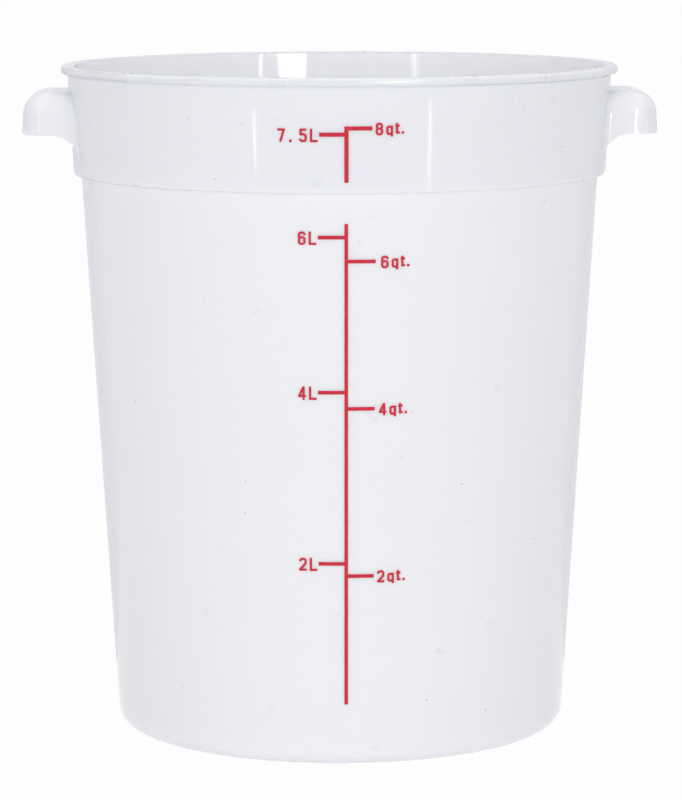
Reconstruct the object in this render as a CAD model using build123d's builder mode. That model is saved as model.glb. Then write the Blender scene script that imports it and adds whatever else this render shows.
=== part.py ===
from build123d import *
import os
from math import radians, sqrt, tan

os.makedirs("parts", exist_ok=True)

# Round 8 quart food and dough container: one moulding in translucent polypropylene with a printed scale.
# The origin is the centre of the base, the scale faces -Y and the two handles point along X. Millimetres.

# Overall sizes of the moulding
container_height = 273.0
rim_radius = 113.9
wall = 2.4
floor_thickness = 2.6

# Rim and collar, from the lip inwards and down to the step
lip_thickness = 3.16
lip_overhang = 2.7
lip_edge_radius = 1.2
lip_root_radius = 0.8
rim_inner_radius = 0.9
collar_height = 44.5
collar_taper = 2.2
step_width = 3.1
step_edge_radius = 1.5
step_root_radius = 0.8

# Body below the step, and the base with its foot ring
body_taper = 13.9
base_corner_radius = 7.6
foot_recess = 3.0
foot_land = 6.0
foot_edge_radius = 0.8

# Hooded lug handles on the collar, open underneath
handle_width = 53.0
handle_overhang = 15.3
handle_drop = 10.2
handle_height = 17.0
handle_wall = 2.3
handle_draft = 3.5
handle_corner_radius = 10.2
handle_crown_radius = 9.0
handle_root_radius = 3.0
handle_gusset_radius = 11.5
handle_lip_radius = 2.0

# Printed scale: the film of ink, the line in its upper and lower part, and the thickness of the ticks
ink_thickness = 0.1
upper_line_width = 1.65
upper_line_gap = 4.4
lower_line_width = 1.4
lower_line_gap = 11.75
lower_line_foot = 25.5
upper_tick_thickness = 1.6
lower_tick_thickness = 1.45

# Printed scale: the two marks on the collar are placed by their drop from the rim, and the six on the body
# by their share of the step's height. Each reach runs from the middle of the line to the tick's end.
litre_7_5_drop = 21.55
quart_8_drop = 19.2
litre_height_shares = {"2": 0.3608, "4": 0.6594, "6": 0.9254}
quart_height_shares = {"2": 0.3391, "4": 0.6312, "6": 0.8844}
litre_reach = {"2": 10.8, "4": 11.0, "6": 11.0, "7.5": 10.5}
quart_reach = {"2": 10.8, "4": 11.1, "6": 11.4, "8": 9.95}

# Printed figures: the pen's width, each character's cell and the spaces between them
figure_stroke = 0.9
figure_drop = 0.3
litre_figure_width = 3.0
litre_figure_height = 5.3
litre_figure_pitch = 4.15
litre_figure_gap = 0.5
quart_figure_width = 2.9
quart_figure_height = 4.9
quart_figure_gap = {"2": 1.3, "4": 1.65, "6": 2.1, "8": 1.25}
q_width = 2.65
q_height = 4.25
q_descent = 0.5
q_space = 1.15
t_width = 1.75
t_height = 4.15
t_rise = 0.6
t_space = 0.85
stop_size = 1.0
stop_rise = 0.5
stop_space = 0.75
decimal_point_inset = 0.35

# Pen strokes of each character, as shares of its cell. A bent stroke is rounded at its corners, a ring is
# rounded and closed, and a sharp stroke has square corners.
corner_share = 0.3
stroke_shares = {
    "2": [
        ("bent", (0.15, 0.72), (0.15, 0.91), (0.85, 0.91), (0.85, 0.55), (0.17, 0.12)),
        ("sharp", (0, 0.09), (1, 0.09)),
    ],
    "4": [
        ("sharp", (0.64, 0.94), (0.14, 0.29)),
        ("sharp", (0, 0.29), (1, 0.29)),
        ("sharp", (0.7, 0), (0.7, 1)),
    ],
    "5": [
        ("sharp", (0.08, 0.91), (0.95, 0.91)),
        ("sharp", (0.21, 0.95), (0.21, 0.5)),
        ("bent", (0.1, 0.575), (0.85, 0.575), (0.85, 0.09), (0.15, 0.09), (0.15, 0.27)),
    ],
    "6": [
        ("ring", (0.15, 0.09), (0.85, 0.09), (0.85, 0.56), (0.15, 0.56)),
        ("bent", (0.85, 0.72), (0.85, 0.91), (0.15, 0.91), (0.15, 0.3)),
    ],
    "7": [
        ("sharp", (0, 0.91), (1, 0.91)),
        ("sharp", (0.82, 0.9), (0.38, 0.03)),
    ],
    "8": [
        ("ring", (0.17, 0.53), (0.83, 0.53), (0.83, 0.91), (0.17, 0.91)),
        ("ring", (0.15, 0.09), (0.85, 0.09), (0.85, 0.53), (0.15, 0.53)),
    ],
    "L": [("sharp", (0.15, 1), (0.15, 0.09), (1, 0.09))],
    "q": [
        ("ring", (0.17, 0.25), (0.83, 0.25), (0.83, 0.9), (0.17, 0.9)),
        ("sharp", (0.83, 1), (0.83, 0)),
    ],
    "t": [
        ("sharp", (0.4, 1), (0.4, 0.1), (1, 0.1)),
        ("sharp", (0, 0.74), (1, 0.74)),
    ],
    ".": [("sharp", (0.5, 0), (0.5, 1))],
}

# Places that follow from these sizes
step_height = container_height - collar_height
lip_height = container_height - lip_thickness
collar_top_radius = rim_radius - lip_overhang
collar_foot_radius = collar_top_radius - collar_taper
body_top_radius = collar_foot_radius - step_width
body_foot_radius = body_top_radius - body_taper
foot_recess_radius = body_foot_radius - base_corner_radius - foot_land
floor_height = foot_recess + floor_thickness
handle_tip = rim_radius + handle_overhang
handle_top = container_height - handle_drop
handle_skirt = handle_top - handle_height
handle_foot = handle_skirt - handle_gusset_radius
crown_foot = handle_top - handle_crown_radius
clear = handle_overhang  # how far a cutting block runs past what it cuts


def revolved(rows):
    """A turned solid. Each row is one corner of its section: distance from the axis, height and rounding."""
    with BuildPart() as turned:
        with BuildSketch(Plane.YZ):
            with BuildLine():
                FilletPolyline(
                    *[(distance, height) for distance, height, rounding in rows],
                    radius=[rounding for distance, height, rounding in rows],
                    close=True,
                )
            make_face()
        revolve(axis=Axis.Z)
    return turned.part


def outside(skin):
    """Corners of the outside from the base corner up to the rim, with every wall grown outwards by a skin."""
    return [
        (body_foot_radius + skin, 0, base_corner_radius),
        (body_top_radius + skin, step_height, step_root_radius),
        (collar_foot_radius + skin, step_height, step_edge_radius),
        (collar_top_radius + skin, lip_height, lip_root_radius),
        (rim_radius + skin, lip_height, lip_edge_radius),
        (rim_radius + skin, container_height, lip_edge_radius),
    ]


# The vessel: the underside, the outside and the inside, whose walls run one wall inside the outer ones
vessel = revolved(
    [
        (0, foot_recess, 0),
        (foot_recess_radius, foot_recess, foot_edge_radius),
        (foot_recess_radius, 0, foot_edge_radius),
    ]
    + outside(0)
    + [
        (collar_top_radius - wall, container_height, rim_inner_radius),
        (collar_foot_radius - wall, step_height + wall, step_root_radius),
        (body_top_radius - wall, step_height + wall, step_edge_radius),
        (body_foot_radius - wall, floor_height, base_corner_radius - wall),
        (0, floor_height, 0),
    ]
)

# The same outside with no cavity in it, and a core that ends halfway through the wall
plug = revolved([(0, 0, 0)] + outside(0) + [(0, container_height, 0)])
wall_core = revolved([(0, 0, 0)] + outside(-wall / 2) + [(0, container_height, 0)])


def handle_block(inset, top, foot):
    """One block right through the tub, from the tip of one handle to the tip of the other, with its faces
    moved in by an inset. It is drafted so that it narrows upwards, and the handles' width and tips are its
    sizes at the skirt, where the hoods end."""
    grown = (handle_skirt - foot) * tan(radians(handle_draft)) - inset
    with BuildPart() as block:
        with BuildSketch(Plane.XY.offset(foot)):
            RectangleRounded(2 * (handle_tip + grown), handle_width + 2 * grown, handle_corner_radius + grown)
        extrude(amount=top - foot, taper=handle_draft)
    return block


# The handles' faces all round, first with a sharp top edge and then with their rounded crown
sharp_block = handle_block(0, handle_top, handle_foot)
crowned_block = handle_block(0, handle_top, handle_foot)
with crowned_block:
    fillet(crowned_block.edges().group_by(Axis.Z)[-1], handle_crown_radius)

# What the crown takes off the sharp block, with a sloping run-out for the blends at the handles' roots
with BuildPart() as crown_trim:
    with BuildSketch(Plane.YZ):
        with BuildLine():
            Polyline(
                (-handle_width / 2, crown_foot),
                (-handle_width / 2 - clear, crown_foot - clear),
                (-handle_width / 2 - clear, container_height),
                (handle_width / 2 + clear, container_height),
                (handle_width / 2 + clear, crown_foot - clear),
                (handle_width / 2, crown_foot),
                close=True,
            )
        make_face()
    extrude(amount=handle_tip + clear, both=True)
    add(crowned_block.part, mode=Mode.SUBTRACT)
    add(plug, mode=Mode.SUBTRACT)

# The space under the skirts. Its hollow curve leaves a gusset at the foot of each side wall, which runs out
# on the collar where the side wall meets it, and the lower edge of each tip is rounded.
gusset_root = sqrt(collar_foot_radius**2 - (handle_width / 2) ** 2)
with BuildPart() as skirt_trim:
    with BuildSketch(Plane.XZ):
        with BuildLine():
            RadiusArc(
                (gusset_root, handle_foot),
                (gusset_root + handle_gusset_radius, handle_skirt),
                handle_gusset_radius,
            )
            Line(
                (gusset_root + handle_gusset_radius, handle_skirt),
                (handle_tip - handle_lip_radius, handle_skirt),
            )
            CenterArc(
                center=(handle_tip - handle_lip_radius, handle_skirt + handle_lip_radius),
                radius=handle_lip_radius,
                start_angle=-90,
                arc_size=90,
            )
            Polyline(
                (handle_tip, handle_skirt + handle_lip_radius),
                (handle_tip + clear, handle_skirt + handle_lip_radius),
                (handle_tip + clear, handle_foot - clear),
                (gusset_root, handle_foot - clear),
                (gusset_root, handle_foot),
            )
        make_face()
        mirror(about=Plane.YZ)
    extrude(amount=handle_width / 2 + clear, both=True)
    add(plug, mode=Mode.SUBTRACT)

# The finger pockets inside the hoods, open below and bounded by the collar
finger_pockets = handle_block(handle_wall, handle_top - handle_wall, handle_foot - clear)
with finger_pockets:
    fillet(finger_pockets.edges().group_by(Axis.Z)[-1], handle_crown_radius - handle_wall)
    add(plug, mode=Mode.SUBTRACT)

# The tub. The rough handles start halfway through the wall, are blended into the collar and crowned, and are
# then trimmed below and given their pockets.
with BuildPart() as rough_handles:
    add(sharp_block.part)
    add(wall_core, mode=Mode.SUBTRACT)
with BuildPart() as tub:
    add(vessel)
    add(rough_handles.part)
    rising_edges = tub.edges().filter_by(lambda edge: edge.bounding_box().size.Z > handle_height)
    collar_edges = rising_edges.filter_by(lambda edge: edge.bounding_box().min.Z > step_height)
    fillet(collar_edges.filter_by(GeomType.LINE, reverse=True), handle_root_radius)
    for tool in (crown_trim, skirt_trim, finger_pockets):
        add(tool.part, mode=Mode.SUBTRACT)
tub.part.label = "tub"
export_step(tub.part, "parts/tub.step")

# The vessel's outer shape grown by the thickness of the ink
inked = revolved([(0, 0, 0)] + outside(ink_thickness) + [(0, container_height, 0)])


def printed(name, flat_shapes):
    """One patch of the print: shapes drawn on the front plane and carried forward on to the wall, where only
    the film of ink between the wall and its grown outline is kept."""
    with BuildPart() as patch:
        extrude(flat_shapes, amount=rim_radius + ink_thickness)
        add(inked, mode=Mode.INTERSECT)
        add(plug, mode=Mode.SUBTRACT)
    patch.part.label = name
    export_step(patch.part, f"parts/{name}.step")


def bar(left, right, foot, top):
    """A straight printed bar on the front plane."""
    with BuildSketch(Plane.XZ) as shape:
        with Locations(((left + right) / 2, (foot + top) / 2)):
            Rectangle(right - left, top - foot)
    return shape.sketch


def writing(cells):
    """A row of characters on the front plane. Each cell gives the character, its left edge, foot, width and
    height, and every stroke of it is drawn with the same pen."""
    with BuildSketch(Plane.XZ) as shape:
        for character, left, foot, width, height, pen in cells:
            for kind, *shares in stroke_shares[character]:
                points = [(left + across * width, foot + up * height) for across, up in shares]
                bends = len(points) if kind == "ring" else len(points) - 2
                with BuildLine():
                    if kind == "sharp":
                        Polyline(*points)
                    else:
                        bend = corner_share * min(width, height / 2)
                        FilletPolyline(*points, radius=[bend] * bends, close=kind == "ring")
                trace(line_width=pen)
    return shape.sketch


# The scale's line, in two prints because the step lies between them
quart_8_height = container_height - quart_8_drop
upper_line_foot = step_height + upper_line_gap
upper_line_top = quart_8_height + upper_tick_thickness / 2
printed("upper_scale_line", bar(-upper_line_width / 2, upper_line_width / 2, upper_line_foot, upper_line_top))
lower_line_top = step_height - lower_line_gap
printed("lower_scale_line", bar(-lower_line_width / 2, lower_line_width / 2, lower_line_foot, lower_line_top))

# Litre marks on the left of the line: a tick, and left of it the figure with its unit, read towards the tick
litre_heights = {mark: share * step_height for mark, share in litre_height_shares.items()}
litre_heights["7.5"] = container_height - litre_7_5_drop
for mark, middle in litre_heights.items():
    high = middle > step_height
    half_tick = (upper_tick_thickness if high else lower_tick_thickness) / 2
    line_edge = (upper_line_width if high else lower_line_width) / 2
    tick_end = litre_reach[mark]
    name = mark.replace(".", "_")
    printed(f"litre_tick_{name}", bar(-tick_end, -line_edge, middle - half_tick, middle + half_tick))
    foot = middle - figure_drop - litre_figure_height / 2
    left = -tick_end - litre_figure_gap - litre_figure_width
    cells = []
    for character in reversed(mark + "L"):
        if character == ".":
            point_left = left + decimal_point_inset
            cells.append((character, point_left, foot, stop_size, stop_size, stop_size))
        else:
            cells.append((character, left, foot, litre_figure_width, litre_figure_height, figure_stroke))
        left -= litre_figure_pitch
    printed(f"litre_figure_{name}", writing(cells))

# Quart marks on the right of the line: a tick, then the figure and its unit
quart_heights = {mark: share * step_height for mark, share in quart_height_shares.items()}
quart_heights["8"] = quart_8_height
for mark, middle in quart_heights.items():
    high = middle > step_height
    half_tick = (upper_tick_thickness if high else lower_tick_thickness) / 2
    line_edge = (upper_line_width if high else lower_line_width) / 2
    tick_end = quart_reach[mark]
    printed(f"quart_tick_{mark}", bar(line_edge, tick_end, middle - half_tick, middle + half_tick))
    foot = middle - figure_drop - quart_figure_height / 2
    figure_left = tick_end + quart_figure_gap[mark]
    q_left = figure_left + quart_figure_width + q_space
    t_left = q_left + q_width + t_space
    stop_left = t_left + t_width + stop_space
    cells = [
        (mark, figure_left, foot, quart_figure_width, quart_figure_height, figure_stroke),
        ("q", q_left, foot - q_descent, q_width, q_height, figure_stroke),
        ("t", t_left, foot + t_rise, t_width, t_height, figure_stroke),
        (".", stop_left, foot + stop_rise, stop_size, stop_size, stop_size),
    ]
    printed(f"quart_figure_{mark}", writing(cells))
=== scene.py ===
from math import cos, pi, radians, sin

import bpy
from mathutils import Matrix, Vector


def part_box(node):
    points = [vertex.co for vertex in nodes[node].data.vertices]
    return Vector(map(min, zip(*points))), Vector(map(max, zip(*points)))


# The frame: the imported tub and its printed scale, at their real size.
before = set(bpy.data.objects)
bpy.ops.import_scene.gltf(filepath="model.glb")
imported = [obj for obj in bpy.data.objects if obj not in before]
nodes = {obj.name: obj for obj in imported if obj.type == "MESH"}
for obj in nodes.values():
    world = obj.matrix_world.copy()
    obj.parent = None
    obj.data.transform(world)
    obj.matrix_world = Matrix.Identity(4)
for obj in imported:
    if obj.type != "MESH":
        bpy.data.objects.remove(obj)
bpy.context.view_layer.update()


# The tub: one injection moulding in a milky, translucent plastic, taken to be natural polypropylene, with a
# smooth glossy skin. The skin has faint clouds, faint upright marks and a gentle ripple, and it carries a
# few grey specks and smudges.
class Field:
    """A value that changes over a surface. Python's operators on it add the Math nodes for the same sum."""

    def __init__(self, shader, socket):
        self.shader = shader
        self.socket = socket

    def math(self, operation, first, second):
        return self.shader.node("Math", {"operation": operation}, {0: first, 1: second})

    def __add__(self, other):
        return self.math("ADD", self, other)

    def __mul__(self, other):
        return self.math("MULTIPLY", self, other)

    def __sub__(self, other):
        return self.math("SUBTRACT", self, other)

    def __rsub__(self, other):
        return self.math("SUBTRACT", other, self)

    __radd__ = __add__
    __rmul__ = __mul__


class Shader:
    """The nodes of a material or of the world, which all come from node()."""

    def __init__(self, owner):
        owner.use_nodes = True
        self.owner = owner
        self.tree = owner.node_tree
        self.tree.nodes.clear()

    def node(self, kind, settings=None, inputs=None, output=0):
        """Adds a shader node of a type, sets its settings, then values or links its sockets, and gives one
        of its outputs as a Field."""
        added = self.tree.nodes.new("ShaderNode" + kind)
        for name, value in (settings or {}).items():
            setattr(added, name, value)
        for name, value in (inputs or {}).items():
            if isinstance(value, Field):
                self.tree.links.new(value.socket, added.inputs[name])
            else:
                added.inputs[name].default_value = value
        return Field(self, added.outputs[output]) if added.outputs else None

    def place(self, stretch=(1, 1, 1)):
        """Object coordinates, in metres, stretched along each axis."""
        metres = self.node("TexCoord", output="Object")
        return self.node("Mapping", inputs={"Vector": metres, "Scale": stretch})

    def noise(self, where, scale, detail):
        """Smooth noise from 0 to 1, with its scale in lumps to the metre."""
        settings = {"Vector": where, "Scale": scale, "Detail": detail, "Roughness": 0.5}
        return self.node("TexNoise", inputs=settings, output="Fac")

    def between(self, value, low, high):
        """0 where a value is under low, 1 where it is over high, and a smooth step between them."""
        settings = {"Value": value, "From Min": low, "From Max": high}
        return self.node("MapRange", {"interpolation_type": "SMOOTHSTEP"}, settings)

    def patches(self, where, scale, detail, low, high):
        """Patches of noise: 0 where the noise is under low and 1 where it is over high."""
        return self.between(self.noise(where, scale, detail), low, high)

    def blend(self, factor, first, second):
        """A colour between two, by a factor from 0 to 1. Mix names its sockets alike for numbers, vectors and
        colours, so its colour sockets go by their places."""
        return self.node("Mix", {"data_type": "RGBA"}, {0: factor, 6: first, 7: second}, 2)

    def bump(self, height, strength, distance):
        """The normal of a surface raised and lowered by a height from 0 to 1 of a distance in metres."""
        inputs = {"Strength": strength, "Distance": distance, "Height": height}
        return self.node("Bump", inputs=inputs, output="Normal")

    def surface(self, **sockets):
        """Ends a material with a Principled shader on these sockets."""
        inputs = {name.replace("_", " "): value for name, value in sockets.items()}
        shader = self.node("BsdfPrincipled", inputs=inputs, output="BSDF")
        self.node("OutputMaterial", inputs={"Surface": shader})
        return self.owner


tub_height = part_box("tub")[1].z
collar_height = 0.0445
collar_slope = 0.0494
collar_wall_middle = 0.0965
# How far below the top of the tub the painted shade of the lip and of the rim's top reaches.
lip_shade_depth = 0.003
rim_shade_depth = 0.0004


def polypropylene():
    """The milky plastic. The collar's outside, the lip and the top of the rim are painted darker: painted
    shade, not a colour of the plastic. These parts are found by their height, and by a cone in the middle of
    the collar's wall that parts the outside from the inside. Its radius at the floor is collar_wall_middle,
    and collar_slope is what that gains with height."""
    skin = Shader(bpy.data.materials.new("natural_polypropylene"))
    milk = (0.940, 0.944, 0.992, 1)
    cloud = (0.925, 0.928, 0.975, 1)
    # Painted shade: greys that darken the collar's outside, the lip and the top of the rim, in place of shade
    # from the light.
    collar_painted_shade = (0.83, 0.835, 0.865, 1)
    rim_painted_shade = (0.75, 0.755, 0.78, 1)
    speck = (0.42, 0.42, 0.45, 1)
    cloud_strength, collar_shade_strength, lip_shade_strength = 0.55, 0.55, 0.45
    smudge_strength, speck_strength = 0.16, 0.75

    even = skin.place()
    upright = skin.place(stretch=(1, 1, 0.03))
    clouds = skin.patches(even, scale=14, detail=3, low=0.35, high=0.70)
    marks = skin.noise(upright, scale=420, detail=2)
    smudges = skin.patches(even, scale=75, detail=2, low=0.70, high=0.80)
    specks = skin.patches(even, scale=520, detail=1, low=0.80, high=0.84)
    colour = skin.blend(clouds * cloud_strength, milk, cloud)

    # The painted shades set in over short fades, and outside is 1 from the middle of the collar's wall
    # outwards.
    wall_fade = 0.0005
    collar_foot = tub_height - collar_height
    collar_fade = 0.0025
    lip_foot = tub_height - lip_shade_depth
    lip_fade = 0.0015
    rim_foot = tub_height - rim_shade_depth
    rim_fade = 0.0008
    height = skin.node("SeparateXYZ", inputs={0: even}, output="Z")
    level = skin.place(stretch=(1, 1, 0))
    radius = skin.node("VectorMath", {"operation": "LENGTH"}, {0: level}, "Value")
    from_cone = radius - height * collar_slope
    outside = skin.between(from_cone, collar_wall_middle - wall_fade, collar_wall_middle + wall_fade)
    collar = outside * skin.between(height, collar_foot - collar_fade, collar_foot + collar_fade)
    # Painted shade on the outside of the collar and the handles.
    colour = skin.blend(collar * collar_shade_strength, colour, collar_painted_shade)
    lip = outside * skin.between(height, lip_foot - lip_fade, lip_foot)
    rim = (1 - outside) * skin.between(height, rim_foot - rim_fade, rim_foot)
    # Painted shade on the lip and the top of the rim. The same masks also make them rougher below.
    colour = skin.blend(lip * lip_shade_strength + rim, colour, rim_painted_shade)
    colour = skin.blend(smudges * smudge_strength, colour, speck)
    colour = skin.blend(specks * speck_strength, colour, speck)

    gloss_roughness = 0.05
    mark_roughness, cloud_roughness, rim_roughness = 0.03, 0.02, 0.2
    roughness = marks * mark_roughness + clouds * cloud_roughness + (lip + rim) * rim_roughness
    ripple_share, mark_share = 0.7, 0.06
    ripple = skin.noise(even, scale=90, detail=2) * ripple_share + marks * mark_share
    return skin.surface(
        Base_Color=colour,
        Roughness=roughness + gloss_roughness,
        IOR=1.49,
        Normal=skin.bump(ripple, strength=0.05, distance=0.0004),
        Subsurface_Weight=0.8,
        Subsurface_Radius=(1.0, 1.0, 1.1),
        Subsurface_Scale=0.003,
    )


def dress(node, material):
    """Gives a node of the frame this material alone."""
    node.data.materials.clear()
    node.data.materials.append(material)


dress(nodes["tub"], polypropylene())


# The printed scale: one thin coat of red ink, printed on the front of the tub after moulding. The coat is a
# little uneven, and small pinholes in it let the plastic show.
def red_ink():
    """The ink, with a mottle in its thickness and the pinholes."""
    ink = Shader(bpy.data.materials.new("red_screen_ink"))
    full = (0.66, 0.028, 0.056, 1)
    thin = (0.70, 0.062, 0.100, 1)
    worn = (0.76, 0.30, 0.34, 1)
    thin_strength, pinhole_strength = 0.6, 0.15
    full_roughness, mottle_roughness = 0.40, 0.1
    even = ink.place()
    mottle = ink.patches(even, scale=700, detail=3, low=0.40, high=0.75)
    pinholes = ink.patches(even, scale=2600, detail=1, low=0.72, high=0.80)
    colour = ink.blend(mottle * thin_strength, full, thin)
    return ink.surface(
        Base_Color=ink.blend(pinholes * pinhole_strength, colour, worn),
        Roughness=mottle * mottle_roughness + full_roughness,
        IOR=1.25,
        Normal=ink.bump(mottle, strength=0.1, distance=0.0001),
    )


scale_ink = red_ink()
for name, node in nodes.items():
    if name != "tub":
        dress(node, scale_ink)


# The stage: a wide white floor, which runs out of every view. It keeps a soft shadow under the tub, and
# beyond that it is nearly as white as the backdrop.
def looked_at(shader):
    """1 where the camera sees it directly, in gloss or through a clear surface, and 0 for diffuse light."""
    rays = ("Is Camera Ray", "Is Glossy Ray", "Is Transmission Ray")
    direct, gloss, clear = [shader.node("LightPath", output=ray) for ray in rays]
    return direct + gloss + clear


plain_white = (1, 1, 1, 1)
paper_tone = (0.90, 0.90, 0.94, 1)


def white_floor():
    """White paper. For what looks at it directly, most of it is the plain white of the backdrop."""
    paper = Shader(bpy.data.materials.new("white_paper_floor"))
    plain_share, plain_share_added_in_view = 0.25, 0.72
    matt = paper.node("BsdfDiffuse", inputs={"Color": paper_tone})
    white = paper.node("Emission", inputs={"Color": plain_white, "Strength": 1.0})
    share = looked_at(paper) * plain_share_added_in_view + plain_share
    both = paper.node("MixShader", inputs={0: share, 1: matt, 2: white})
    paper.node("OutputMaterial", inputs={"Surface": both})
    return paper.owner


floor_reach = 14.0
corners = [(-floor_reach, -floor_reach, 0), (floor_reach, -floor_reach, 0)]
corners += [(floor_reach, floor_reach, 0), (-floor_reach, floor_reach, 0)]
floor_mesh = bpy.data.meshes.new("floor")
floor_mesh.from_pydata(corners, [], [(0, 1, 2, 3)])
floor_mesh.materials.append(white_floor())
floor = bpy.data.objects.new("floor", floor_mesh)
bpy.context.scene.collection.objects.link(floor)

# The world: white where it is looked at or mirrored. On everything else it is an even studio light, which
# is dimmer overhead than around the tub.
level_light = 0.76
overhead_loss = 0.30
soft_tone = (0.97, 0.98, 1, 1)
world = bpy.data.worlds.new("studio")
bpy.context.scene.world = world
studio = Shader(world)
in_view = looked_at(studio)
heading = studio.node("SeparateXYZ", inputs={0: studio.node("TexCoord", output="Generated")}, output="Z")
upwards = studio.node("Math", {"operation": "MAXIMUM"}, {0: heading, 1: 0.0})
backdrop = studio.node("Background", inputs={"Color": plain_white, "Strength": 1.0})
strength = level_light - upwards * overhead_loss
soft = studio.node("Background", inputs={"Color": soft_tone, "Strength": strength})
mixed = studio.node("MixShader", inputs={0: in_view, 1: soft, 2: backdrop})
studio.node("OutputWorld", inputs={"Surface": mixed})

# The camera of the photograph: a long lens, a little above the rim and a touch left of the printed scale.
# It was fitted with its middle half a pixel off the middle of the frame, which half_pixel makes up for.
camera_azimuth = radians(-1.4)
camera_distance = 1.588
camera_height = 0.3514
camera_pitch = radians(7.804)
camera_yaw = radians(0.024)
camera_roll = radians(-0.10)
photo_height_px = 800
focal_length_px = 3864.6
lens = bpy.data.cameras.new("camera")
lens.sensor_width = 36.0
lens.lens = focal_length_px / photo_height_px * lens.sensor_width
lens.clip_end = 100.0
camera = bpy.data.objects.new("camera", lens)
half_pixel = 0.5 / focal_length_px
turn = (
    Matrix.Rotation(camera_azimuth, 4, "Z")
    @ Matrix.Rotation(pi / 2 - camera_pitch + half_pixel, 4, "X")
    @ Matrix.Rotation(-camera_yaw + half_pixel, 4, "Y")
    @ Matrix.Rotation(camera_roll, 4, "Z")
)
stand = (camera_distance * sin(camera_azimuth), -camera_distance * cos(camera_azimuth), camera_height)
camera.matrix_world = Matrix.Translation(stand) @ turn
bpy.context.scene.collection.objects.link(camera)
bpy.context.scene.camera = camera


# Two grey cards stand behind the tub, each bent so that its foot lies on the floor. Only its gloss sees
# them, and they draw the edges of the tub against the white backdrop.
def glowing(name, colour, strength):
    """A material that gives the same light all over."""
    shader = Shader(bpy.data.materials.new(name))
    glow = shader.node("Emission", inputs={"Color": colour, "Strength": strength})
    shader.node("OutputMaterial", inputs={"Surface": glow})
    return shader.owner


def gloss_only(name, points, faces, material):
    """Puts a mesh on the stage that is seen in mirrors alone."""
    mesh = bpy.data.meshes.new(name)
    mesh.from_pydata(points, [], faces)
    mesh.materials.append(material)
    card = bpy.data.objects.new(name, mesh)
    bpy.context.scene.collection.objects.link(card)
    for ray in ("camera", "diffuse", "transmission", "volume_scatter", "shadow"):
        setattr(card, "visible_" + ray, False)


card_rows = ((0.15, 0.002), (0.55, 0.002), (0.55, 0.80))
card_angles = (176, 166, 154, 142, 130)
card_grey = (0.93, 0.93, 1, 1)
card_brightness = 0.85
across = len(card_angles)
card_starts = [row * across + column for row in range(len(card_rows) - 1) for column in range(across - 1)]
card_faces = [(start, start + 1, start + across + 1, start + across) for start in card_starts]
for card_name, side in (("left_card", -1), ("right_card", 1)):
    turns = [camera_azimuth + side * radians(angle) for angle in card_angles]
    points = [(reach * sin(turn), -reach * cos(turn), rise) for reach, rise in card_rows for turn in turns]
    gloss_only(card_name, points, card_faces, glowing(card_name + "_grey", card_grey, card_brightness))


# The highlights: two tall strips and a broad face are mirrored inside the collar, two low strips on the
# collar's front and one on the body's. They light nothing. Their directions are in degrees, turned from the
# camera's side of the tub, positive to the right of it.
def highlight(name, side, distance, foot, top, width, radiance):
    """An upright bright face, turned to the tub: its direction, its distance from the axis, the heights of
    its foot and top, its width and how bright it is."""
    heading = camera_azimuth + radians(side)
    along = Vector((cos(heading), sin(heading), 0)) * width / 2
    middle = Vector((distance * sin(heading), -distance * cos(heading), 0))
    left, right = middle - along, middle + along
    points = [(left.x, left.y, foot), (right.x, right.y, foot)]
    points += [(right.x, right.y, top), (left.x, left.y, top)]
    face = glowing(name + "_face", plain_white, radiance)
    face.cycles.emission_sampling = "NONE"
    gloss_only(name, points, [(0, 1, 2, 3)], face)


highlight("left_strip", side=-35.0, distance=1.6, foot=0.15, top=1.3, width=0.034, radiance=12.0)
highlight("right_strip", side=36.8, distance=1.6, foot=0.15, top=1.3, width=0.034, radiance=14.0)
highlight("right_softbox", side=21.9, distance=1.7, foot=0.15, top=0.8, width=0.37, radiance=12.0)
highlight("left_collar_strip", side=-33.6, distance=0.9, foot=0.103, top=0.128, width=0.015, radiance=7.0)
highlight("right_collar_strip", side=36.0, distance=0.9, foot=0.086, top=0.130, width=0.013, radiance=8.0)
highlight("right_body_strip", side=35.0, distance=0.9, foot=0.005, top=0.030, width=0.012, radiance=2.0)


# The lamps, which neither the camera nor the gloss sees. Two broad fills stand in front of the tub, the
# lower one nearer. A softbox over the opening lights the inside, the rim and the handles' crowns, because
# the outside of the wall leans away from it.
def lamp(name, width, length, radiance, place):
    """A rectangular lamp with a face of this size and brightness, at a place given as a matrix."""
    light = bpy.data.lights.new(name, "AREA")
    light.shape = "RECTANGLE"
    light.size = width
    light.size_y = length
    light.energy = radiance * pi * width * length
    holder = bpy.data.objects.new(name, light)
    holder.matrix_world = place
    holder.visible_camera = False
    holder.visible_glossy = False
    bpy.context.scene.collection.objects.link(holder)


def front_lamp(name, distance, foot, top, width, radiance):
    """A lamp on the camera's side of the tub, between the heights of its foot and top. It is turned to the
    tub's axis at half the tub's height, or at the nearest height that it covers."""
    at = Vector((distance * sin(camera_azimuth), -distance * cos(camera_azimuth), (foot + top) / 2))
    target = Vector((0, 0, min(max(tub_height / 2, foot), top)))
    turned = (target - at).to_track_quat("-Z", "Y").to_matrix().to_4x4()
    lamp(name, width, top - foot, radiance, Matrix.Translation(at) @ turned)


front_lamp("front_fill", distance=2.4, foot=0.30, top=0.9, width=2.4, radiance=2.5)
front_lamp("front_low_fill", distance=1.0, foot=0.0, top=0.16, width=0.8, radiance=1.5)
overhead_height = 0.75
overhead_towards_camera = 0.08
over_opening = Matrix.Translation((0, -overhead_towards_camera, overhead_height))
lamp("overhead_softbox", width=0.5, length=0.12, radiance=4.9, place=over_opening)

bpy.context.scene.view_settings.view_transform = "Standard"
